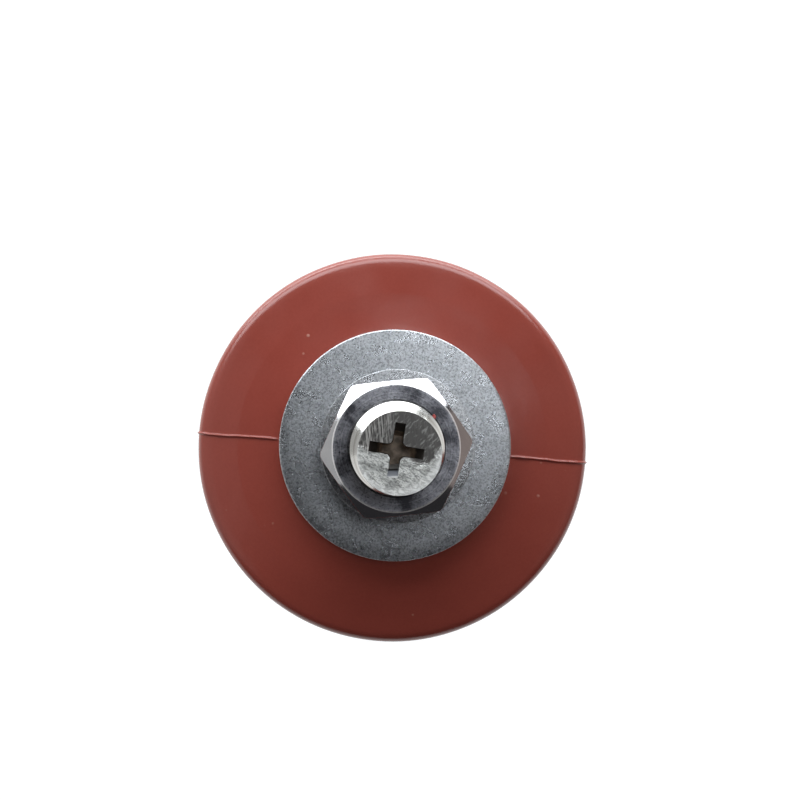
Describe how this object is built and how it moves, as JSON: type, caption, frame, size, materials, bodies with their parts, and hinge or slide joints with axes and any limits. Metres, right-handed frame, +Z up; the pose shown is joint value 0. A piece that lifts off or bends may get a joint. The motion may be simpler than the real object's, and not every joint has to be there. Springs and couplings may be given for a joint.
{
  "type": "distribution surge arrester",
  "caption": "Polymer-housed distribution surge arrester: a ribbed red-brown silicone jacket over a varistor stack, with a threaded stud, washers and nut at each end.",
  "frame": {"origin": "centre of the bottom seating face, the outer face of the bottom large washer", "axes": "+Z up along the arrester's axis, from the earth end to the line end; the mould's parting plane lies close to XZ"},
  "size_m": [0.0665, 0.066, 0.2459],
  "materials": {
    "silicone": "satin moulded silicone",
    "glass_fibre": "wound glass fibre in epoxy",
    "zinc_oxide": "matte",
    "aluminium": "turned",
    "spring_steel": "satin",
    "seal_rubber": "matte",
    "large_washer_steel": "satin, scratched",
    "flat_washer_steel": "satin",
    "nut_steel": "turned face, bright chamfer",
    "stud_steel": "rolled thread, worn end face"
  },
  "bodies": {
    "root": {"bottom_electrode": "aluminium", "bottom_flat_washer": "flat_washer_steel", "bottom_large_washer": "large_washer_steel", "bottom_nut": "nut_steel", "bottom_seal_ring": "seal_rubber", "bottom_stud": "stud_steel", "contact_disc_1": "aluminium", "contact_disc_2": "aluminium", "contact_disc_3": "aluminium", "contact_disc_4": "aluminium", "disc_spring_1": "spring_steel", "disc_spring_2": "spring_steel", "disc_spring_3": "spring_steel", "frp_tube": "glass_fibre", "pressure_plate": "aluminium", "silicone_housing": "silicone", "top_electrode": "aluminium", "top_flat_washer": "flat_washer_steel", "top_large_washer": "large_washer_steel", "top_nut": "nut_steel", "top_seal_ring": "seal_rubber", "top_stud": "stud_steel", "varistor_block_1": "zinc_oxide", "varistor_block_2": "zinc_oxide", "varistor_block_3": "zinc_oxide", "varistor_block_4": "zinc_oxide", "varistor_block_5": "zinc_oxide"}
  },
  "joints": []
}
